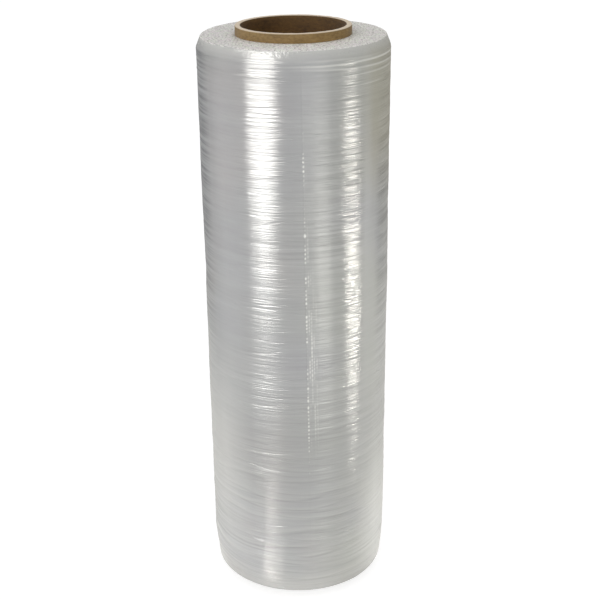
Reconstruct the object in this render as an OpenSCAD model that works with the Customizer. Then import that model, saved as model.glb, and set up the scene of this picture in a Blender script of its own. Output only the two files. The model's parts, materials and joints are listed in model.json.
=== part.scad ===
// Roll of clear stretch wrap film, wound on a paperboard core.
// The roll stands on end: the origin is the middle of the core's lower end face and +Z runs up the bore.

/* [Core] */
// Inside diameter of the core, a 3 inch tube
core_bore_d = 76.2; // [50:0.1:100]
// Thickness of the paperboard wall
core_wall = 4; // [2:0.1:8]
// How far the core stands out of the film at each end
core_proud = 6.7; // [2:0.1:20]
// Bevel that the cutting knife leaves on the four edges of the core
core_bevel = 0.4; // [0.1:0.1:0.9]

/* [Film] */
// Width of the film, measured along the core
film_width = 431.8; // [200:0.1:600]
// Outside diameter of the wound film
film_d = 140.2; // [125:0.1:250]
// Gap between the core and the first turn
winding_gap = 0.05; // [0:0.01:0.3]

/* [Film ends] */
// Height of the tapered shoulder at the upper end
shoulder_height = 8.4; // [4:0.1:20]
// How far the shoulder draws in at the upper end
shoulder_draw = 2.6; // [0.5:0.1:5]
// Height of the longer taper at the lower end
foot_height = 27; // [10:0.5:50]
// How far the taper draws in at the lower end
foot_draw = 2.4; // [0.5:0.1:5]
// Radius where the wall turns over into an end face
lip_r = 1.5; // [0.5:0.1:3]

/* [Turns] */
// Spacing of the bundles of turns that show on the end faces
turn_pitch = 1.6; // [1:0.1:4]
// How far the proudest bundle of turns stands out of the end face
turn_relief = 0.45; // [0.1:0.05:1]
// Spacing of the ridges that the stretched film builds up round the wall
ridge_pitch = 3.6; // [2:0.1:10]
// Height of the tallest ridge
ridge_relief = 0.2; // [0.05:0.05:0.5]
// How far the thick and thin lanes of the film swell the wall
lane_swell = 0.25; // [0:0.05:1]
// Width of the widest thick lane
lane_width = 170; // [60:1:300]

/* [Loose end] */
// Angle of the film's loose end round the roll, from the front
tail_angle = 6; // [0:1:359]
// Lean of the loose end, from the upright: clockwise, seen from the front
tail_lean = -0.7; // [-3:0.1:3]
// Width of the puckered hem along the loose end
tail_width = 1.2; // [0.6:0.1:3]
// How far the hem stands out past the tallest ridge
tail_relief = 0.1; // [0.05:0.05:0.6]

/* [Hidden] */
$fn = 128;
lip_steps = 4; // straight stretches in the curve of each lip
taper_steps = 5; // straight stretches in each taper
taper_ease = 1.2; // 1 is a straight taper, more dies out softly in the wall
tail_root = 1; // how deep the hem is bedded under the lowest part of the wall
// The film's thick lanes: how often each comes for one of the widest, its share of the swell, and its phase.
lanes = [[1, 0.55, 30], [2.1, 0.3, 200], [4.7, 0.15, 0]];

core_bore_r = core_bore_d / 2;
core_r = core_bore_r + core_wall;
core_length = film_width + 2 * core_proud;
film_r = film_d / 2;
film_bore_r = core_r + winding_gap;

function sum(values, i = 0) = i < len(values) ? values[i] + sum(values, i + 1) : 0;

function reversed(points) = [for (i = [len(points) - 1 : -1 : 0]) points[i]];

// Outline of one end face, from the bore outwards: crests of turns that stand out by uneven amounts.
function end_rings(outer_r, seed) =
    let (
        count = floor((outer_r - film_bore_r) / turn_pitch),
        pitch = (outer_r - film_bore_r) / count,
        crest = rands(0.1, 1, count, seed)
    )
    [
        for (i = [0 : count - 1]) each [
            [film_bore_r + i * pitch, 0],
            [film_bore_r + (i + 0.5) * pitch, turn_relief * crest[i]]
        ]
    ];

// Swell of the wall where the film's thick lanes lie over each other, turn on turn.
function lane(height) =
    lane_swell * sum([for (l = lanes) l[1] * sin(l[0] * 360 * height / lane_width + l[2])]);

// How far a taper draws the wall in, at a distance from the end face: all of it at the lip, none past its length.
function taper(draw, length, distance) =
    draw * pow(max(0, (length - distance) / (length - lip_r)), taper_ease);

// Radius of the wall at a height above the film's lower end, without its ridges.
function wall_r(height) =
    film_r + lane(height)
    - taper(foot_draw, foot_height, height)
    - taper(shoulder_draw, shoulder_height, film_width - height);

// Heights where the wall's outline has a point, between the two lips: even in the tapers and between them.
function wall_heights() =
    let (
        straight = film_width - foot_height - shoulder_height,
        count = floor(straight / ridge_pitch)
    )
    concat(
        [for (i = [1 : taper_steps - 1]) lip_r + i * (foot_height - lip_r) / taper_steps],
        [for (i = [0 : 2 * count]) foot_height + i * straight / (2 * count)],
        [for (i = [taper_steps - 1 : -1 : 1]) film_width - lip_r - i * (shoulder_height - lip_r) / taper_steps]
    );

// Outline of the wall, from the foot up: every second point is the crest of a ridge of its own height.
function wall_outline() =
    let (
        heights = wall_heights(),
        crest = rands(0.15, 1, len(heights), 17)
    )
    [
        for (i = [0 : len(heights) - 1])
            [wall_r(heights[i]) + (i % 2 == 0 ? 0 : ridge_relief * crest[i]), heights[i]]
    ];

// Quarter-round lip between an end face and the wall, from one angle to the other.
function lip(centre_r, centre_height, from_angle, to_angle) = [
    for (i = [0 : lip_steps])
        let (angle = from_angle + i * (to_angle - from_angle) / lip_steps)
        [centre_r + lip_r * cos(angle), centre_height + lip_r * sin(angle)]
];

// Half section of the wound film, with height 0 at its lower end face.
function film_section() =
    let (
        foot_lip_r = wall_r(lip_r) - lip_r,
        shoulder_lip_r = wall_r(film_width - lip_r) - lip_r
    )
    concat(
        [for (p = end_rings(foot_lip_r, 5)) [p[0], -p[1]]],
        lip(foot_lip_r, lip_r, -90, 0),
        wall_outline(),
        lip(shoulder_lip_r, film_width - lip_r, 0, 90),
        reversed([for (p = end_rings(shoulder_lip_r, 9)) [p[0], film_width + p[1]]])
    );

// Spiral-wound paperboard tube, cut square at both ends.
module core() {
    color("burlywood")
        rotate_extrude()
            polygon([
                [core_bore_r, core_bevel],
                [core_bore_r + core_bevel, 0],
                [core_r - core_bevel, 0],
                [core_r, core_bevel],
                [core_r, core_length - core_bevel],
                [core_r - core_bevel, core_length],
                [core_bore_r + core_bevel, core_length],
                [core_bore_r, core_length - core_bevel]
            ]);
}

// Loose end of the film, which clings to the wall along a narrow puckered hem.
module film_tail() {
    root = lane_swell + tail_root;
    crest = ridge_relief + tail_relief;
    run = film_width - foot_height - shoulder_height;
    rotate([0, 0, tail_angle])
        translate([0, -film_r, core_proud + foot_height + run / 2])
            rotate([0, tail_lean, 0])
                linear_extrude(height = run, center = true)
                    polygon([
                        [-tail_width / 2, root],
                        [-tail_width / 4, -crest],
                        [tail_width / 4, -crest],
                        [tail_width / 2, root]
                    ]);
}

// All turns of the film in one piece, with the loose end on the wall.
module film_roll() {
    color("gainsboro")
        union() {
            translate([0, 0, core_proud])
                rotate_extrude()
                    polygon(film_section());
            film_tail();
        }
}

core();
film_roll();
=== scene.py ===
import json
import math

import bmesh
import bpy
import numpy as np
from mathutils import Matrix, Quaternion, Vector


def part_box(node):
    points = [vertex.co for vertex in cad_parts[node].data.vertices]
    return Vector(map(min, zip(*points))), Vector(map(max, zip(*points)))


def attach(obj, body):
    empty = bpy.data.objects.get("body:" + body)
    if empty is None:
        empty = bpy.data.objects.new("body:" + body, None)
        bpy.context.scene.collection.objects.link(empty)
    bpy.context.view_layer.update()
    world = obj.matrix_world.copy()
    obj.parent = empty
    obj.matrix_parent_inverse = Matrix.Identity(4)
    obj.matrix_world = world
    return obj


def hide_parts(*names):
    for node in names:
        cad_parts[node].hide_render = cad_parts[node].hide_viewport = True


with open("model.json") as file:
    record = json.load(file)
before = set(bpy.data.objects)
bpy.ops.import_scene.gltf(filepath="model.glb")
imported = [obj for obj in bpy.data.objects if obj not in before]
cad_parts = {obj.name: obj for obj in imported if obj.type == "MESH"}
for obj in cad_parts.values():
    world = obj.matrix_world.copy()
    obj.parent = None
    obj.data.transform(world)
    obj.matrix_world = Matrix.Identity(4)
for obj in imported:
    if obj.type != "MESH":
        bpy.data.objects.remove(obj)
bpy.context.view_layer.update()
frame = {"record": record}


# Core: a tube of brown paperboard plies, wound on the slant and glued, then sawn to length.
# The film is wound straight on it, and it stands a little out of the film at both ends.
# Its cut ends are paler and furry, and one ply's seam runs round it as a shallow screw line.

MM = 0.001
TOUCHING = 0.01 * MM  # points nearer than this count as one
ROWS_AT_ONCE = 80
chance = np.random.RandomState(41)  # every random draw comes from it, in the order of the file


class Signal:
    """One output of a shader node, so that a pattern is written as arithmetic."""

    def __init__(self, finish, socket):
        self.finish = finish
        self.socket = socket

    def _math(self, operation, left, right):
        return self.finish.add("ShaderNodeMath", {"operation": operation}, {0: left, 1: right})

    def __add__(self, other):
        return self._math("ADD", self, other)

    def __radd__(self, other):
        return self._math("ADD", other, self)

    def __sub__(self, other):
        return self._math("SUBTRACT", self, other)

    def __rsub__(self, other):
        return self._math("SUBTRACT", other, self)

    def __mul__(self, other):
        return self._math("MULTIPLY", self, other)

    def __rmul__(self, other):
        return self._math("MULTIPLY", other, self)

    def __truediv__(self, other):
        return self._math("DIVIDE", self, other)

    def __pow__(self, other):
        return self._math("POWER", self, other)


class Finish:
    """A material or world in the making: an empty node tree and what is added to it."""

    def __init__(self, owner):
        owner.use_nodes = True
        self.owner = owner
        self.tree = owner.node_tree
        self.tree.nodes.clear()

    def add(self, kind, settings=None, sockets=None, output=0):
        """A node of a type, with its settings, then the values or links of its sockets."""
        node = self.tree.nodes.new(kind)
        for name, value in (settings or {}).items():
            if name == "stops":
                ramp = node.color_ramp
                while len(ramp.elements) < len(value):
                    ramp.elements.new(1.0)
                for element, (place, shade) in zip(ramp.elements, value):
                    element.position = place
                    element.color = (shade, shade, shade, 1.0)
            else:
                setattr(node, name, value)
        for key, value in (sockets or {}).items():
            if isinstance(value, Signal):
                self.tree.links.new(value.socket, node.inputs[key])
            else:
                node.inputs[key].default_value = value
        return Signal(self, node.outputs[output]) if node.outputs else None

    def place(self, scale=(1, 1, 1), location=(0, 0, 0)):
        """The piece's own coordinates in metres, stretched to the grain of a pattern."""
        here = self.add("ShaderNodeTexCoord", output="Object")
        return self.add("ShaderNodeMapping", {}, {
            "Vector": here, "Scale": scale, "Location": location})

    def coordinate(self, axis):
        """One of the piece's own coordinates, in metres."""
        here = self.add("ShaderNodeTexCoord", output="Object")
        return self.add("ShaderNodeSeparateXYZ", {}, {"Vector": here}, axis)

    def grain(self, scale, location=(0, 0, 0), detail=2.0, roughness=0.5):
        """Soft noise from 0 to 1, with its size set by the stretch of the coordinates."""
        return self.add("ShaderNodeTexNoise", {}, {
            "Vector": self.place(scale, location), "Scale": 1.0,
            "Detail": detail, "Roughness": roughness})

    def steps(self, value, stops):
        """A value turned into a share: (value, share) at each stop, and straight in between."""
        return self.add("ShaderNodeValToRGB", {"stops": stops}, {"Fac": value})

    def mix(self, share, colour, other):
        """A colour with a share of another laid over it."""
        return self.add("ShaderNodeMix", {"data_type": "RGBA"}, {0: share, 6: colour, 7: other}, 2)

    def relief(self, height, depth):
        """Bumps that shade like a relief of this depth, in metres."""
        return self.add("ShaderNodeBump", {}, {
            "Height": height, "Distance": depth, "Strength": 1.0})

    def shader(self, kind, sockets):
        return self.add("ShaderNode" + kind, {}, sockets)

    def done(self, shader, output="OutputMaterial"):
        """The material or world itself, with this shader as its surface."""
        self.add("ShaderNode" + output, {}, {"Surface": shader})
        return self.owner


def srgb(*levels):
    """A colour as a painter reads it, 0 to 255, turned into the light it gives back."""
    def light(share):
        return share / 12.92 if share <= 0.04045 else ((share + 0.055) / 1.055) ** 2.4

    return (*(light(level / 255) for level in levels), 1.0)


def turn_profile(name, profile, columns):
    """A closed body of revolution: a ring of the first point is pulled through all the others."""
    bpy.ops.object.select_all(action="DESELECT")
    bpy.ops.mesh.primitive_circle_add(
        vertices=columns, radius=profile[0][0], location=(0, 0, profile[0][1]))
    piece = bpy.context.object
    piece.name = name
    bpy.ops.object.transform_apply(location=True)
    bpy.ops.object.mode_set(mode="EDIT")
    bpy.ops.mesh.select_all(action="SELECT")
    for (radius, height), (next_radius, next_height) in zip(profile, profile[1:]):
        bpy.ops.mesh.extrude_edges_move()
        growth = next_radius / radius
        bpy.ops.transform.resize(value=(growth, growth, 1))
        bpy.ops.transform.translate(value=(0, 0, next_height - height))
    bpy.ops.mesh.select_all(action="SELECT")
    bpy.ops.mesh.remove_doubles(threshold=TOUCHING)
    bpy.ops.mesh.normals_make_consistent(inside=False)
    bpy.ops.object.mode_set(mode="OBJECT")
    return piece


def split_edges(piece, is_chosen, cuts):
    """Cuts each chosen edge into cuts + 1 parts, and the faces between them with it."""
    bpy.ops.object.mode_set(mode="EDIT")
    bpy.ops.mesh.select_mode(type="EDGE")
    bpy.ops.mesh.select_all(action="DESELECT")
    for edge in bmesh.from_edit_mesh(piece.data).edges:
        edge.select_set(is_chosen(*(vert.co for vert in edge.verts)))
    bmesh.update_edit_mesh(piece.data)
    bpy.ops.mesh.subdivide(number_cuts=cuts)
    bpy.ops.object.mode_set(mode="OBJECT")


def cut_rows(piece, rows, low, high):
    """Cuts the upright edges between two heights into rows, in two goes of under 100 cuts each."""
    def is_upright(end, other):
        foot, top = sorted((end.z, other.z))
        return foot > low - TOUCHING and top < high + TOUCHING and top - foot > TOUCHING

    for parts in (rows // ROWS_AT_ONCE, ROWS_AT_ONCE):
        split_edges(piece, is_upright, parts - 1)


def read_points(piece):
    points = np.zeros(len(piece.data.vertices) * 3)
    piece.data.vertices.foreach_get("co", points)
    return points.reshape(-1, 3)


def write_points(piece, points):
    piece.data.vertices.foreach_set("co", points.reshape(-1))
    piece.data.update()


def lattice_cells(place, cells):
    """The cell of a lattice that each place falls in, and its eased share of the way across it."""
    place = place * cells
    cell = np.floor(place).astype(int)
    share = place - cell
    return cell, share * share * (3 - 2 * share)


def wander(turn, height, round_cells, up_cells):
    """Seeded soft noise, -1 to 1, over a wall: turn runs 0 to 1 round it and meets itself."""
    lattice = chance.uniform(-1, 1, (round_cells, up_cells + 2))
    column, across = lattice_cells(np.mod(turn, 1.0), round_cells)
    row, up = lattice_cells(np.clip(height, 0, 1), up_cells)
    left, right = column % round_cells, (column + 1) % round_cells
    low = lattice[left, row] * (1 - across) + lattice[right, row] * across
    high = lattice[left, row + 1] * (1 - across) + lattice[right, row + 1] * across
    return low * (1 - up) + high * up


def smooth(piece, degrees):
    """Shades a piece smooth, except over edges that turn by more than an angle."""
    bpy.ops.object.select_all(action="DESELECT")
    piece.select_set(True)
    bpy.context.view_layer.objects.active = piece
    bpy.ops.object.shade_smooth_by_angle(angle=math.radians(degrees))


CORE_COLUMNS = 144
CORE_ROWS = 160
CORE_BEVEL = 0.45 * MM
END_LOOPS = 5  # rings of points over the width of each cut end
SEAM_PITCH = 118 * MM
SEAM_WIDTH = 0.9 * MM
SEAM_DEPTH = 0.22 * MM
BORE_SEAM_TURN = 0.37  # how far round the bore's seam starts from the outer one
WALL_WAVER = 0.06 * MM
FURRY_END = 0.07 * MM
PLY = 0.8 * MM
WAVE_PERIOD = 0.31  # from ring to ring of Blender's wave pattern at scale 1, in metres
BOARD_RELIEF = 0.18 * MM

core_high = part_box("core")[1]
core_length = core_high.z
core_r = core_high.x
bore_r = frame["record"]["mounts"][0]["dims"]["r_mm"] * MM

end_loops = np.linspace(bore_r + CORE_BEVEL, core_r - CORE_BEVEL, END_LOOPS)
core_profile = [(bore_r, CORE_BEVEL)]
core_profile += [(radius, 0) for radius in end_loops]
core_profile += [(core_r, CORE_BEVEL), (core_r, core_length - CORE_BEVEL)]
core_profile += [(radius, core_length) for radius in reversed(end_loops)]
core_profile += [(bore_r, core_length - CORE_BEVEL), (bore_r, CORE_BEVEL)]
core = turn_profile("paperboard_core", core_profile, CORE_COLUMNS)
cut_rows(core, CORE_ROWS, CORE_BEVEL, core_length - CORE_BEVEL)

points = read_points(core)
radius = np.hypot(points[:, 0], points[:, 1])
turn = np.arctan2(points[:, 1], points[:, 0]) / (2 * math.pi)
height = points[:, 2].copy()
at_foot = height < 0.5 * CORE_BEVEL
at_top = height > core_length - 0.5 * CORE_BEVEL
in_bore = radius < (bore_r + core_r) / 2
on_wall = ~(at_foot | at_top) & ((radius < bore_r + TOUCHING) | (radius > core_r - TOUCHING))
seam = np.mod(height / SEAM_PITCH - turn + np.where(in_bore, BORE_SEAM_TURN, 0), 1.0)
seam = np.minimum(seam, 1 - seam) * SEAM_PITCH
groove = SEAM_DEPTH * np.exp(-(seam / SEAM_WIDTH) ** 2)
drawn_in = groove + WALL_WAVER + WALL_WAVER * wander(turn, height / core_length, 9, 30)
dented = radius + np.where(on_wall, np.where(in_bore, 1, -1) * drawn_in, 0)
points[:, :2] *= (dented / radius)[:, None]
furry = FURRY_END * (wander(turn, 1, 90, 12) - 1)
points[:, 2] += np.where(at_top, furry, 0) - np.where(at_foot, furry, 0)
write_points(core, points)
smooth(core, degrees=50)

board = Finish(bpy.data.materials.new("paperboard"))
fibre = board.grain((420, 420, 900), detail=6, roughness=0.65)
blotch = board.grain((60, 60, 90), (3, 1, 7), detail=4, roughness=0.6)
pulp = board.steps(0.55 * fibre + 0.45 * blotch, [(0.36, 0.0), (0.64, 1.0)])
kraft = board.mix(pulp, srgb(112, 88, 50), srgb(158, 130, 82))
# Painted shade: the bore is given a darker brown than the outside, for the shade deep in the
# hollow.
kraft_in_shade = board.mix(pulp, srgb(70, 46, 16), srgb(112, 80, 34))
from_axis = (board.coordinate(0) ** 2 + board.coordinate(1) ** 2) ** 0.5
inside = board.steps((from_axis - (bore_r + 0.2 * MM)) / (0.4 * MM), [(0.0, 1.0), (1.0, 0.0)])
wall_colour = board.mix(inside, kraft, kraft_in_shade)

core_height = board.coordinate(2)
from_nearer_end = board.add("ShaderNodeMath", {"operation": "MINIMUM"}, {
    0: core_height / (0.5 * MM), 1: (core_length - core_height) / (0.5 * MM)})
cut_face = board.steps(from_nearer_end, [(0.3, 1.0), (1.0, 0.0)])
plies = board.add("ShaderNodeTexWave", {"wave_type": "RINGS", "rings_direction": "Z"}, {
    "Vector": board.place(), "Scale": WAVE_PERIOD / PLY,
    "Distortion": 1.2, "Detail": 3.0, "Detail Scale": 3.0})
sawn = board.mix(0.6 * plies + 0.4 * fibre, srgb(196, 174, 146), srgb(236, 222, 200))
core.data.materials.append(board.done(board.shader("BsdfPrincipled", {
    "Base Color": board.mix(cut_face, wall_colour, sawn),
    "Roughness": 0.82 + 0.12 * fibre,
    "Specular IOR Level": 0.25,
    "Sheen Weight": 0.12,
    "Normal": board.relief(0.7 * fibre + 0.3 * blotch, BOARD_RELIEF),
})))
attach(core, "root")
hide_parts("core")


# Wound film: one sheet of clear stretch film in about 1,300 turns, pulled tight as it goes on.
# Thick and thin lanes of the sheet build up into ridges round the wall, and the sheet's edges,
# stacked on each other, make the pale crinkled end faces. The loose end clings by itself.

FILM_WIDTH = 431.8 * MM
FILM_R = 70.1 * MM
WINDING_GAP = 0.05 * MM
SHOULDER = 8.4 * MM
SHOULDER_DRAW = 2.6 * MM
FOOT = 27 * MM
FOOT_DRAW = 2.4 * MM
TAPER_EASE = 1.2  # 1 is a straight taper, more dies out softly in the wall
LIP = 1.5 * MM
LIP_STEPS = 4
END_RINGS = 34
FILM_COLUMNS = 80
WALL_ROWS = 640

proud = (core_length - FILM_WIDTH) / 2
film_foot = proud
film_top = core_length - proud
film_width = film_top - film_foot
film_bore_r = core_r + WINDING_GAP
foot_face_r = FILM_R - FOOT_DRAW - LIP
shoulder_face_r = FILM_R - SHOULDER_DRAW - LIP


def end_face(outer_r, level):
    """Rings of one end face, from the bore outwards."""
    return [
        (film_bore_r + (outer_r - film_bore_r) * ring / END_RINGS, level)
        for ring in range(END_RINGS + 1)]


lip_angles = [math.radians(90 * step / LIP_STEPS) for step in range(LIP_STEPS + 1)]
film_profile = end_face(foot_face_r, film_foot)
film_profile += [
    (foot_face_r + LIP * math.sin(bend), film_foot + LIP - LIP * math.cos(bend))
    for bend in lip_angles[1:]]
film_profile += [
    (shoulder_face_r + LIP * math.cos(bend), film_top - LIP + LIP * math.sin(bend))
    for bend in lip_angles]
film_profile += reversed(end_face(shoulder_face_r, film_top)[:-1])
film_profile += [(film_bore_r, film_foot)]
film = turn_profile("wound_film", film_profile, FILM_COLUMNS)

TAIL_TURN = 5.9  # degrees from the front to the loose end, half-way up
TAIL_LEAN = 3.9  # degrees round the roll that it leans over the film's width
TAIL_REACH = 7  # degrees to each side over which the columns lean with it
TAIL_SECTOR = (math.radians(0), math.radians(13.5))
TAIL_CUTS = 13


def crosses_tail(end, other):
    """Whether an edge runs level round the roll, where the loose end lies."""
    is_level = abs(end.z - other.z) < TOUCHING
    is_round = abs(end.xy.length - other.xy.length) < TOUCHING
    middle = (end + other) / 2
    from_front = math.atan2(middle.x, -middle.y)
    return is_level and is_round and TAIL_SECTOR[0] < from_front < TAIL_SECTOR[1]


split_edges(film, crosses_tail, TAIL_CUTS)
cut_rows(film, WALL_ROWS, film_foot + LIP, film_top - LIP)

# Lengths in these tables are in millimetres, and angles in degrees.
LANES = (
    # cells round the roll, cells up it, size
    (3, 54, 0.09),
    (4, 120, 0.055),
    (6, 210, 0.042),
    (9, 330, 0.028),
)
LOW_SWELL = 0.12
FOLD_DEPTH = 0.2
FOLDS_TOP = 210
FOLDS_FADE = 110  # how far below that height they show in full
FOLDS = (
    # spacing, cells of its waver round and up, waver, share
    (7.1, 4, 16, 0.4, 0.6),
    (4.3, 5, 24, 0.4, 0.3),
    (10.3, 4, 12, 0.35, 0.4),
)
SWELLINGS = (
    # turn from the front towards the right, height, spread round in degrees, spread up, size
    (-88, 336, 60, 30, 0.15),
    (-88, 262, 60, 20, -0.5),
    (-88, 158, 60, 18, 0.22),
    (88, 252, 60, 18, 0.35),
    (88, 344, 50, 12, -0.3),
    (88, 308, 50, 10, -0.25),
    (88, 112, 50, 12, -0.3),
    (88, 30, 50, 12, -0.3),
    (-80, 424, 16, 3, 0.15),
)
SHOULDER_CREASES = (
    # the same five values
    (42, 421.5, 44, 0.8, 0.42),
    (50, 417.6, 34, 0.7, 0.36),
    (30, 424.6, 30, 0.7, 0.2),
    (58, 412.5, 26, 0.7, 0.26),
    (46, 405.5, 20, 0.7, 0.2),
    (-84, 417.5, 14, 0.7, 0.2),
    (-88, 409.5, 12, 0.7, 0.2),
    (12, 419.0, 16, 0.7, 0.14),
    (-25, 418.6, 14, 0.6, -0.3),
    (-21, 414.2, 15, 0.6, 0.22),
    (-28, 409.6, 13, 0.6, -0.22),
    (-24, 404.8, 12, 0.6, -0.18),
)


def clamp(values):
    return np.clip(values, 0, 1)


points = read_points(film)
radius = np.hypot(points[:, 0], points[:, 1])
height = points[:, 2] - film_foot
height_mm = height / MM
below_top_mm = (film_width - height) / MM
share = height / film_width
from_bore = radius - film_bore_r
on_wall = (height > LIP - TOUCHING) & (height < film_width - LIP + TOUCHING)
on_end = ~on_wall & (from_bore > TOUCHING)

# The finely cut columns are leant with the loose end, so that its hem runs along them.
angle = np.arctan2(points[:, 0], -points[:, 1])
near_tail = clamp(1 - np.abs(np.degrees(angle) - TAIL_TURN) / TAIL_REACH)
angle = angle - np.radians(TAIL_LEAN) * (clamp(share) - 0.5) * near_tail ** 0.6
turn = angle / (2 * math.pi)


def taper(draw, length, distance):
    """How far a taper draws the wall in, at a distance from the end face."""
    return draw * clamp((length - distance) / (length - LIP)) ** TAPER_EASE


def mound(degrees, level, round_spread, up_spread, power=2):
    """A mound on the wall, 1 at its middle. A higher power keeps its height further round."""
    away = (np.degrees(angle) - degrees + 180) % 360 - 180
    return np.exp(-(away / round_spread) ** power - ((height_mm - level) / up_spread) ** 2)


# Lanes, folds that grow towards the foot, swellings, and creases at the shoulder.
relief = np.zeros(len(points))
for round_cells, up_cells, size in LANES:
    relief += size * wander(turn, share, round_cells, up_cells)
low_heavy = 0.7 + 0.9 * (1 - share) ** 2
relief += LOW_SWELL * low_heavy * wander(turn, share, 4, 34)
folds = np.zeros(len(points))
for spacing, round_cells, up_cells, waver, size in FOLDS:
    phase = height_mm / spacing + waver * wander(turn, share, round_cells, up_cells)
    up_fold = phase - np.floor(phase)
    strength = clamp(0.45 + 0.9 * wander(turn, share, 7, 50)) * size
    folds += strength * np.minimum(up_fold / 0.2, (1 - up_fold) / 0.8)
low_down = 0.08 + 0.92 * clamp((FOLDS_TOP - height_mm) / FOLDS_FADE)
relief += FOLD_DEPTH * low_down * (folds - 0.3)
by_the_lips = 1 - clamp(height_mm / 4) * clamp(below_top_mm / 7)
relief *= 1 - 0.75 * by_the_lips
for degrees, level, round_spread, up_spread, size in SWELLINGS:
    relief += size * mound(degrees, level, round_spread, up_spread)
puckers = np.zeros(len(points))
for degrees, level, round_spread, up_spread, size in SHOULDER_CREASES:
    level = level + 0.8 * wander(turn, 0, 16, 1)
    puckers += size * mound(degrees, level, round_spread, up_spread, power=4)
relief += puckers

LAYER_STEP = 0.06
HEM_LINE = 0.04
BEAD_HEIGHT = 0.4
BEAD_SPACING = 3.2
BEAD_STRENGTH = (
    # height, strength there
    (90, 0), (115, 0.25), (140, 0.55), (165, 0.9), (215, 1.05),
    (250, 0.9), (370, 0.75), (392, 0.6), (402, 0),
)
PINCHES = (
    # how far past the hem, middle height, spread up, size
    (1.9, 215, 80, 0.26),
    (3.5, 205, 70, 0.22),
    (5.1, 195, 60, 0.16),
    (7.0, 190, 55, 0.12),
)

# Loose end: a hem with beads of trapped bubbles, pinches beside it, and one more layer of film on
# its right. Beads, pinches and shoulder creases are also marked pale for the colour: the bubbles'
# own pale look, with painted glints on beads, pinches and creases.
tail_angle = np.radians(TAIL_TURN - TAIL_LEAN * (share - 0.5))
beyond = (angle - tail_angle) * FILM_R / MM
layer = LAYER_STEP * clamp(beyond / 0.8 + 1) * clamp(1 - beyond / 60)
strength = np.interp(height_mm, *zip(*BEAD_STRENGTH))
bead_phase = 2 * math.pi * (height_mm / BEAD_SPACING + 0.55 * wander(0, share, 1, 55))
bead_size = np.clip(0.5 + 0.8 * wander(0, share, 1, 90), 0.06, 1)
bead = strength * bead_size * (0.5 + 0.5 * np.sin(bead_phase)) ** 1.5
veil = clamp(beyond / 0.8 + 0.5) * clamp(2.6 - beyond / 4)
on_hem = np.exp(-(beyond / 0.5) ** 2)
air_and_glints = 0.85 * bead * on_hem + 0.07 * veil * np.clip(strength - 0.3, 0, 0.7)
hem = HEM_LINE * on_hem + BEAD_HEIGHT * bead * np.exp(-(beyond / 0.75) ** 2)
pinch = np.zeros(len(points))
for offset, level, spread, size in PINCHES:
    dots = np.clip(0.45 + 0.8 * wander(0, share, 1, 45), 0.05, 1)
    dots = dots * (0.65 + 0.35 * np.sin(bead_phase + offset * 2.4))
    ridge = dots * np.exp(-((beyond - offset) / 0.5) ** 2 - ((height_mm - level) / spread) ** 2)
    pinch += size * ridge
    air_and_glints += 1.6 * size * ridge
body = clamp(height_mm / 30) * clamp(below_top_mm / 12)
relief += (layer + hem + pinch) * body
# The shoulder creases are marked pale as well: painted highlights along them.
air_and_glints = np.where(on_wall, air_and_glints * body + 0.8 * clamp(puckers), 0)

# End faces: the sheet's stacked edges, crinkled except where they meet the core.
rings = wander(turn, from_bore / (30 * MM), 26, 26)
swirl = wander(turn, from_bore / (30 * MM), 60, 44)
crinkle = (0.22 * rings + 0.16 * swirl - 0.05) * MM * clamp(from_bore / (2 * MM))
points[:, 2] += np.where(on_end, np.where(share > 0.5, 1, -1) * crinkle, 0)
wall_r = FILM_R - taper(FOOT_DRAW, FOOT, height)
wall_r -= taper(SHOULDER_DRAW, SHOULDER, film_width - height)
radius = np.where(on_wall, wall_r + relief * MM, radius)
points[:, 0] = radius * np.sin(angle)
points[:, 1] = -radius * np.cos(angle)
write_points(film, points)
trapped_air = film.data.attributes.new("trapped_air", "FLOAT", "POINT")
trapped_air.data.foreach_set("value", air_and_glints.astype(np.float32))
smooth(film, degrees=60)

FINE_RELIEF = 0.68 * MM
EDGE_RELIEF = 1.1 * MM
END_FACE_TILT = 0.7  # a face is part of an end face where its normal is more upright than this

wrap = Finish(bpy.data.materials.new("clear_film_wall"))
wall_height = wrap.coordinate(2) - film_foot
rise = wall_height / (400 * MM)  # 0 at the film's foot, 1 at 400 mm up
rightwards = wrap.coordinate(0) / FILM_R
leftwards = wrap.coordinate(0) / -FILM_R
to_either_side = rightwards ** 2


def zone(sideways, side_stops, rise_stops):
    """A part of the wall, by how far it lies to one side of the middle and how high."""
    return wrap.steps(sideways, side_stops) * wrap.steps(rise, rise_stops)


def above_foot(length_mm, stops):
    """A share that changes over the first millimetres above the lower end face."""
    return wrap.steps(wall_height / (length_mm * MM), stops)


def below_top(length_mm, stops):
    """A share that grows over the last millimetres below the upper end face."""
    length = length_mm * MM
    return wrap.steps((wall_height - (film_width - length)) / length, stops)


# Zones of the wall where the film lies calm, lively, smooth or crumpled.
left_calm = zone(leftwards, [(0.5, 0.0), (0.62, 0.85)], [(0.4, 0.0), (0.55, 1.0)])
smooth_strip = zone(
    rightwards, [(0.66, 0.0), (0.72, 1.0), (0.81, 1.0), (0.87, 0.0)],
    [(0.36, 0.0), (0.46, 1.0), (0.86, 1.0), (0.95, 0.3)])
lively = zone(
    rightwards, [(0.44, 0.0), (0.53, 1.0), (0.68, 1.0), (0.74, 0.0)],
    [(0.42, 0.0), (0.56, 0.8), (0.8, 0.7), (0.98, 0.4)])
calm = zone(
    leftwards, [(0.1, 0.0), (0.3, 0.35)],
    [(0.28, 0.0), (0.36, 1.0), (0.8, 1.0), (0.95, 0.0)])
right_side = wrap.steps(rightwards, [(0.2, 0.0), (0.45, 0.7)])
far_side = wrap.steps(rightwards, [(0.84, 0.0), (0.92, 1.0)])
neck = below_top(40, [(0.2, 0.0), (1.0, 1.0)])
brim = below_top(13, [(0.3, 0.0), (1.0, 1.0)])
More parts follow.
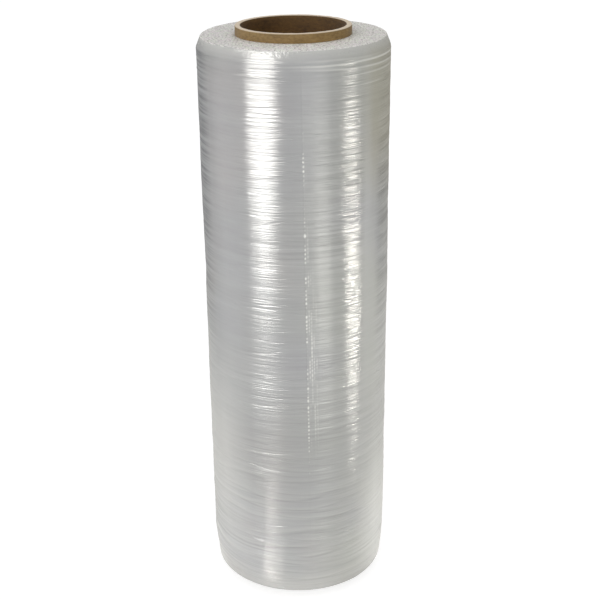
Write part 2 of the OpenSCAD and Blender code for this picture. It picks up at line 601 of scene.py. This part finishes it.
crumpled = below_top(8, [(0.3, 0.0), (1.0, 1.0)])
foot_ribs = above_foot(80, [(0.45, 1.0), (1.0, 0.0)])

# Colour of the layers: streaked grey with a warm cast in places. Over it lie painted light and
# shade: shaded ripples, pleats with dark and light lines, paler flanks and foot, darkened edges,
# and painted glints at the loose end.
streak = wrap.grain((9, 9, 700))
thread = wrap.grain((24, 24, 1400), (5, 2, 1))
band = wrap.grain((6, 6, 95), (1, 7, 3), detail=3)
streaked = wrap.steps(0.4 * streak + 0.6 * band, [(0.38, 0.0), (0.62, 1.0)])
clear = wrap.mix(streaked, srgb(167, 167, 169), srgb(175, 176, 177))
tint = wrap.steps(wrap.grain((11, 11, 9), (8, 3, 2)), [(0.42, 0.0), (0.62, 1.0)])
tint = tint * wrap.steps(rightwards, [(0.0, 0.2), (0.45, 0.65)])
clear = wrap.mix(tint, clear, srgb(177, 179, 168))
blush = wrap.steps(wrap.grain((13, 13, 10), (2, 8, 5)), [(0.5, 0.0), (0.68, 1.0)])
clear = wrap.mix(0.3 * blush, clear, srgb(180, 173, 172))

# Painted light and shade of the ripples: light and dark streaks laid into the colour, most at both
# sides and on the right, and in patches elsewhere.
ripple = wrap.steps(
    wrap.grain((12, 12, 520), (7, 7, 2), detail=3, roughness=0.6), [(0.38, 0.0), (0.62, 1.0)])
side_ripple_shading = wrap.steps(to_either_side, [(0.72, 0.0), (0.95, 0.45)])
right_ripple_shading = wrap.steps(rightwards, [(0.16, 0.0), (0.24, 0.22)])
patchy_ripple_shading = wrap.steps(wrap.grain((9, 9, 12), (2, 3, 7)), [(0.42, 0.06), (0.62, 0.38)])
ripple_shading = side_ripple_shading + (right_ripple_shading + patchy_ripple_shading * (1 - left_calm)) * (1 - 0.8 * smooth_strip)
clear = wrap.mix(ripple_shading, clear, wrap.mix(ripple, srgb(150, 150, 148), srgb(189, 189, 187)))

PLEATS = (
    # spacing, where its noise starts, how far it strays, share of its painted shade and light,
    # share of its relief
    (7.2, (3, 5, 1), 2.6, 0.24, 0.1),
    (11.0, (8, 2, 6), 2.2, 0.28, 0.13),
    (5.4, (1, 4, 9), 2.6, 0.14, 0.08),
)
pleated = above_foot(240, [(0.4, 1.0), (0.9, 0.0)])
pleat_painted_shade = pleat_painted_light = pleats = 0.0
for spacing, start, strays, shading_share, relief_share in PLEATS:
    phase = wall_height / (spacing * MM) + strays * wrap.grain((11, 11, 24), start, detail=1)
    up_pleat = wrap.add("ShaderNodeMath", {"operation": "FRACT"}, {0: phase})
    strength = pleated * wrap.steps(
        wrap.grain((17, 17, 60), start[::-1], detail=1), [(0.42, 0.05), (0.6, 1.0)])
    line = strength * wrap.steps(up_pleat, [(0.0, 0.0), (0.1, 1.0), (0.26, 0.0)])
    pleat_painted_shade = pleat_painted_shade + shading_share * line
    line = strength * wrap.steps(up_pleat, [(0.14, 0.0), (0.26, 1.0), (0.55, 0.0)])
    pleat_painted_light = pleat_painted_light + shading_share * line
    pleat = strength * wrap.steps(up_pleat, [(0.0, 0.0), (0.15, 1.0), (1.0, 0.0)])
    pleats = pleats + relief_share * pleat
# Painted shade and light of the pleats: a dark line under each pleat's steep lower side and a
# light line above it.
clear = wrap.mix(pleat_painted_light, clear, srgb(203, 204, 199))
clear = wrap.mix(pleat_painted_shade, clear, srgb(120, 121, 120))

# Painted shade: a darker band low on the wall, a little above the foot.
low_band_shade = above_foot(240, [(0.15, 0.0), (0.45, 0.3), (0.6, 0.3), (0.8, 0.0)])
clear = wrap.mix(low_band_shade, clear, srgb(150, 150, 148))
# Painted light: paler patches low on both flanks, and higher up on the smooth strip at the right.
lit_right_flank = wrap.steps(to_either_side, [(0.35, 0.0), (0.75, 1.0)])
lit_right_flank = lit_right_flank * wrap.steps(rightwards, [(0.5, 0.0), (0.7, 1.0)])
painted_flank_light = lit_right_flank * wrap.steps(
    rise, [(0.05, 0.5), (0.15, 0.7), (0.3, 0.42), (0.55, 0.36), (0.75, 0.0)])
painted_flank_light = painted_flank_light + zone(
    leftwards, [(0.5, 0.0), (0.8, 1.0)],
    [(0.05, 0.05), (0.25, 0.42), (0.35, 0.42), (0.52, 0.0)])
painted_flank_light = painted_flank_light + smooth_strip * wrap.steps(rise, [(0.5, 0.05), (0.7, 0.3)])
clear = wrap.mix(painted_flank_light, clear, srgb(214, 214, 210))

# Painted shade: the upper left edge is darkened, with ripples in it.
left_edge_shade = zone(leftwards, [(0.72, 0.0), (0.86, 0.2), (0.94, 0.85)], [(0.5, 0.0), (0.7, 1.0)])
clear = wrap.mix(left_edge_shade, clear, wrap.mix(ripple, srgb(118, 119, 121), srgb(160, 161, 163)))
# Painted light and shade: dark and light rungs along the far right edge, high on the wall.
rung_shading = wrap.steps(wrap.grain((14, 14, 190), (5, 5, 8)), [(0.4, 0.0), (0.6, 1.0)])
right_edge_shading = zone(
    rightwards, [(0.83, 0.0), (0.9, 0.5)],
    [(0.45, 0.0), (0.75, 1.0), (0.9, 1.0), (1.0, 0.4)])
clear = wrap.mix(right_edge_shading, clear, wrap.mix(rung_shading, srgb(138, 138, 136), srgb(190, 191, 188)))
olive = zone(rightwards, [(0.62, 0.0), (0.8, 0.42)], [(0.8, 0.0), (0.92, 1.0)])
clear = wrap.mix(olive, clear, srgb(176, 170, 146))
# Painted light: the foot of the wall is made paler.
painted_foot_light = above_foot(22, [(0.2, 0.6), (1.0, 0.0)])
clear = wrap.mix(painted_foot_light, clear, srgb(205, 204, 200))
clear = wrap.mix(0.8 * brim, clear, srgb(212, 212, 208))
# Pale marks from the mesh attribute: the bubbles at the loose end, with painted glints on beads,
# pinches and shoulder creases.
air_glint_share = wrap.add("ShaderNodeAttribute", {"attribute_name": "trapped_air"}, output=2)
clear = wrap.mix(wrap.steps(air_glint_share, [(0.03, 0.0), (0.4, 0.9)]), clear, srgb(236, 236, 230))

# Relief finer than the mesh. The ridges and arcs are centred on 0 before a zone scales them,
# because the zone's own edge would otherwise shade the wall like a slope.
crease = wrap.grain((10, 10, 110), (2, 9, 4), detail=1)
crease = wrap.steps((crease - 0.5) ** 2 * 1500, [(0.0, 0.0), (1.0, 1.0)])
patchy = wrap.steps(wrap.grain((7, 7, 16), (6, 1, 9), detail=1), [(0.35, 0.5), (0.65, 1.0)])
ridges = (0.5 * streak + 0.35 * thread + 0.15 * crease) * patchy
ridges = (ridges - 0.4) * (
    1 + 0.6 * foot_ribs + neck * (1 - right_side) + lively + far_side - calm - 0.8 * smooth_strip)
ridges = ridges + 1.5 * foot_ribs * wrap.grain((14, 14, 290), (4, 6, 2))
arcs = wrap.grain((13, 13, 400), (3, 1, 4))
arc_zone = lively * wrap.steps(rise, [(0.6, 0.1), (0.82, 0.9), (0.9, 1.0), (1.0, 0.5)])
ridges = ridges + 1.6 * arc_zone * (arcs - 0.5)
ridges = ridges + pleats
crinkles = wrap.grain((480, 480, 480), (1, 1, 5), roughness=0.6)
ridges = ridges + (1.1 * crumpled + 0.12 * neck) * crinkles
ruffled = wrap.relief(ridges, FINE_RELIEF)

# The gloss is drawn out across the turns. It is dull where the wall is seen edge on, as its
# many layers scatter the light, and also at the neck and at the lower right.
glossy = wrap.shader("BsdfPrincipled", {
    "Base Color": clear,
    "Roughness": 0.165 + 0.04 * band + 0.05 * neck - 0.05 * lively,
    "Specular IOR Level": 1.0,
    "Anisotropic": 0.9,
    "Anisotropic Rotation": 0.25,
    "Normal": ruffled,
})
dull = wrap.shader("BsdfPrincipled", {
    "Base Color": clear,
    "Roughness": 0.6,
    "Specular IOR Level": 0.2,
    "Normal": ruffled,
})
dimmed = below_top(45, [(0.0, 0.0), (0.5, 0.28), (0.8, 0.4), (1.0, 0.44)])
dimmed = dimmed + right_side * wrap.steps(rise, [(0.84, 0.0), (0.95, 0.3)])
dimmed = dimmed + right_side * wrap.steps(rise, [(0.2, 1.1), (0.3, 0.0)])
facing = wrap.add("ShaderNodeLayerWeight", {}, {"Blend": 0.5}, output=1)
film.data.materials.append(wrap.done(wrap.shader("MixShader", {
    0: wrap.steps(facing, [(0.36, 0.0), (0.56, 0.85)]) + dimmed, 1: glossy, 2: dull})))

edges = Finish(bpy.data.materials.new("clear_film_edges"))
cell = edges.add("ShaderNodeTexVoronoi", {"feature": "DISTANCE_TO_EDGE"}, {
    "Vector": edges.place((400, 400, 400)), "Scale": 1.0})
frost = edges.grain((600, 600, 600), detail=3, roughness=0.6)
haze = edges.steps(edges.grain((270, 270, 270), (4, 4, 4)), [(0.42, 0.0), (0.58, 1.0)])
# End faces: the stacked film edges are milky pale. Their speckle of pale and grey is partly that
# own look and partly painted sparkle.
painted_sparkle = edges.steps(0.7 * frost + 0.6 * cell, [(0.34, 0.0), (0.41, 1.0)])
frosted = edges.mix(haze, srgb(252, 255, 243), srgb(255, 247, 247))
film.data.materials.append(edges.done(edges.shader("BsdfPrincipled", {
    "Base Color": edges.mix(painted_sparkle, srgb(200, 197, 192), frosted),
    "Roughness": 0.2 + 0.2 * frost,
    "Specular IOR Level": 0.8,
    "Subsurface Weight": 0.3,
    "Subsurface Radius": (1.0, 1.0, 1.0),
    "Subsurface Scale": 6 * MM,
    "Normal": edges.relief(0.6 * frost + 1.2 * cell, EDGE_RELIEF),
})))
for face in film.data.polygons:
    face.material_index = int(abs(face.normal.z) > END_FACE_TILT)
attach(film, "root")
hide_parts("film_roll")


# Floor and room: a wide sheet of white paper under an even white room.
# Both show plain white behind the roll, but light it no more than a real room would,
# and the floor keeps the roll's shadow.

FLOOR_SIZE = 30
FLOOR_GLOW = 0.77  # what makes the shown paper white, on top of its own share of the light
ROOM_LIGHT = 0.66

bpy.ops.object.select_all(action="DESELECT")
bpy.ops.mesh.primitive_plane_add(size=FLOOR_SIZE, location=(0, 0, 0))
floor = bpy.context.object
floor.name = "studio_floor"


def shown_rays(finish):
    """1 for the rays by which the background is seen: straight, mirrored or through glass."""
    seen = finish.add("ShaderNodeLightPath", output="Is Camera Ray")
    mirrored = finish.add("ShaderNodeLightPath", output="Is Glossy Ray")
    through = finish.add("ShaderNodeLightPath", output="Is Transmission Ray")
    return finish.add("ShaderNodeClamp", {}, {"Value": seen + mirrored + through})


def grey(level):
    return (level, level, level, 1)


paper = Finish(bpy.data.materials.new("white_floor"))
lighting_paper = paper.shader("BsdfDiffuse", {"Color": grey(0.8)})
shown_paper = paper.shader("AddShader", {
    0: paper.shader("BsdfDiffuse", {"Color": grey(0.4)}),
    1: paper.shader("Emission", {"Color": grey(1), "Strength": FLOOR_GLOW})})
floor.data.materials.append(paper.done(paper.shader("MixShader", {
    0: shown_rays(paper), 1: lighting_paper, 2: shown_paper})))

world = bpy.data.worlds.new("studio")
bpy.context.scene.world = world
room = Finish(world)
lighting_room = room.shader("Background", {"Color": grey(1), "Strength": ROOM_LIGHT})
shown_room = room.shader("Background", {"Color": grey(1), "Strength": 1.0})
room.done(room.shader("MixShader", {
    0: shown_rays(room), 1: lighting_room, 2: shown_room}), "OutputWorld")


# Grey bowl: a curved wall of grey velvet round the back of the roll, paler low down.
# Only the film's gloss sees it, so that the roll's edges turn grey, as they do beside dark flags.

BOWL_R = 0.5
BOWL_PROFILE = [(BOWL_R, 0.78), (BOWL_R, 0.001), (0.078, 0.001)]
BOWL_COLUMNS = 90
BOWL_GAP = (-112, 100)  # degrees round from the front where it is left open
PALE_BELOW = 0.3

bowl = turn_profile("grey_bowl", BOWL_PROFILE, BOWL_COLUMNS)
shell = bmesh.new()
shell.from_mesh(bowl.data)
middles = {face: face.calc_center_median() for face in shell.faces}
bmesh.ops.delete(shell, context="FACES", geom=[
    face for face, middle in middles.items()
    if BOWL_GAP[0] < math.degrees(math.atan2(middle.x, -middle.y)) < BOWL_GAP[1]])
shell.to_mesh(bowl.data)

velvet = Finish(bpy.data.materials.new("grey_velvet"))
to_the_right = velvet.steps(velvet.coordinate(0) / BOWL_R, [(0.0, 0.0), (0.5, 1.0)])
velvet_wall = velvet.mix(to_the_right, (0.255, 0.255, 0.25, 1), (0.28, 0.26, 0.19, 1))
low_part = velvet.steps(
    velvet.coordinate(2) / PALE_BELOW - 0.2 * to_the_right, [(0.0, 1.0), (0.65, 0.0)])
bowl.data.materials.append(velvet.done(velvet.shader("Emission", {
    "Color": velvet.mix(low_part, velvet_wall, (0.7, 0.7, 0.67, 1)), "Strength": 1.0})))
bowl.visible_camera = False
bowl.visible_diffuse = False
bowl.visible_shadow = False
bowl.visible_transmission = False


# Lamps: a window, panels and cards that the film mirrors as upright bands, small lamps by the
# foot that it mirrors as a gleam, and sheets of light on the table. All but the key light are
# seen in gloss alone or in plain light alone, and no camera sees any of them.

WINDOW_WHITE = (1.0, 0.985, 0.94)
CARD_WHITE = (1.0, 1.0, 0.93)
WARM_WHITE = (1.0, 0.96, 0.87)
FOOT_WHITE = (1.0, 0.93, 0.85)
ON_FLOOR = 0.001


def area_lamp(name, width, depth, place, turned, brightness, colour, diffuse=True, glossy=True):
    """A flat rectangular lamp, as bright to look at as a white of this strength."""
    lamp = bpy.data.lights.new(name, "AREA")
    lamp.shape = "RECTANGLE"
    lamp.size = width
    lamp.size_y = depth
    lamp.energy = brightness * math.pi * width * depth
    lamp.color = colour
    holder = bpy.data.objects.new(name, lamp)
    bpy.context.scene.collection.objects.link(holder)
    holder.location = place
    holder.rotation_euler = turned
    holder.visible_camera = False
    holder.visible_diffuse = diffuse
    holder.visible_glossy = glossy


def around(turn_degrees, distance, level):
    """A place so far from the roll's axis, turned from the front towards the right."""
    turn = math.radians(turn_degrees)
    return Vector((distance * math.sin(turn), -distance * math.cos(turn), level))


def soft_panel(name, turn_degrees, distance, width, low, high, brightness, colour=(1, 1, 1),
               diffuse=False, lean_degrees=0):
    """An upright lamp that faces the roll."""
    place = around(turn_degrees, distance, (low + high) / 2)
    facing = Vector((-place.x, -place.y, 0)).to_track_quat("-Z", "Y")
    lean = Quaternion((0, 0, 1), math.radians(lean_degrees))
    turned = (facing @ lean).to_euler()
    area_lamp(name, width, high - low, place, turned, brightness, colour, diffuse)


soft_panel("key", -40, 2.2, 1.6, 1.0, 2.6, 2.0, (1.0, 0.99, 0.97), diffuse=True)
soft_panel("window_left", -38.1, 1.5, 0.9, 0.16, 1.4, 17.0, WINDOW_WHITE)
soft_panel("window_left_sill", -37.8, 0.62, 0.27, 0.11, 0.27, 5.0, WINDOW_WHITE)
soft_panel("window_left_core", -36.3, 0.6, 0.12, 0.12, 0.27, 7.5, (1.0, 0.99, 0.96))
soft_panel("panel_right", 67.6, 0.5, 0.072, 0.075, 0.205, 41.0, WARM_WHITE, lean_degrees=-34)
soft_panel("panel_right_top", 72.0, 0.5, 0.055, 0.2, 0.27, 20.0, WARM_WHITE, lean_degrees=-22)
soft_panel("card_front", 22, 1.5, 0.9, 0.02, 0.7, 1.3, CARD_WHITE)
soft_panel("card_front_edge", 31, 0.45, 0.14, 0.04, 0.25, 2.6, CARD_WHITE)
soft_panel("strip_behind", 180, 1.5, 0.4, 0.02, 1.2, 3.0)

for width, depth, turn_degrees, distance, brightness in (
        (0.034, 0.045, -25, 0.112, 2.4),
        (0.022, 0.005, -27.5, 0.111, 170.0),
        (0.024, 0.004, -28.5, 0.122, 70.0),
        (0.03, 0.008, -32.5, 0.158, 14.0)):
    area_lamp(
        "foot_gleam", width, depth, around(turn_degrees, distance, ON_FLOOR),
        (math.pi, 0, math.radians(turn_degrees)), brightness, FOOT_WHITE, diffuse=False)

for x, y, size, brightness, colour in (
        (-0.28, 0.02, 0.42, 1.12, (1.0, 1.0, 0.97)),
        (0.28, 0.02, 0.42, 1.35, WINDOW_WHITE),
        (0.0, -0.2, 0.26, 0.38, (1.0, 0.985, 0.95))):
    area_lamp(
        "table_sheet", size, size, (x, y, ON_FLOOR), (math.pi, 0, 0),
        brightness, colour, glossy=False)


# Camera: the photograph's viewpoint, fitted to the roll's outline and the core's ellipses.
# It stands in front of the roll, looks down on it, and is turned by under a degree.

CAMERA_FROM_AXIS = 0.86927
CAMERA_HEIGHT = 0.58292 + proud
PITCH = math.radians(22.399)
YAW = math.radians(0.175)
ROLL = math.radians(-0.628)
PHOTO_PIXELS = 600
FOCAL_PIXELS = 1200.67
SENSOR_WIDTH = 36  # in mm, as Blender measures a lens

lens = bpy.data.cameras.new("camera")
lens.sensor_width = SENSOR_WIDTH
lens.lens = FOCAL_PIXELS / PHOTO_PIXELS * SENSOR_WIDTH
lens.clip_start = 0.05
lens.clip_end = 100
camera = bpy.data.objects.new("camera", lens)
bpy.context.scene.collection.objects.link(camera)
forward = Vector((
    math.sin(YAW) * math.cos(PITCH), math.cos(YAW) * math.cos(PITCH), -math.sin(PITCH)))
level_right = forward.cross(Vector((0, 0, 1))).normalized()
level_up = level_right.cross(forward)
right = level_right * math.cos(ROLL) + level_up * math.sin(ROLL)
up = level_up * math.cos(ROLL) - level_right * math.sin(ROLL)
camera.matrix_world = Matrix((
    (right.x, up.x, -forward.x, 0),
    (right.y, up.y, -forward.y, -CAMERA_FROM_AXIS),
    (right.z, up.z, -forward.z, CAMERA_HEIGHT),
    (0, 0, 0, 1)))
bpy.context.scene.camera = camera
bpy.context.scene.view_settings.view_transform = "Standard"
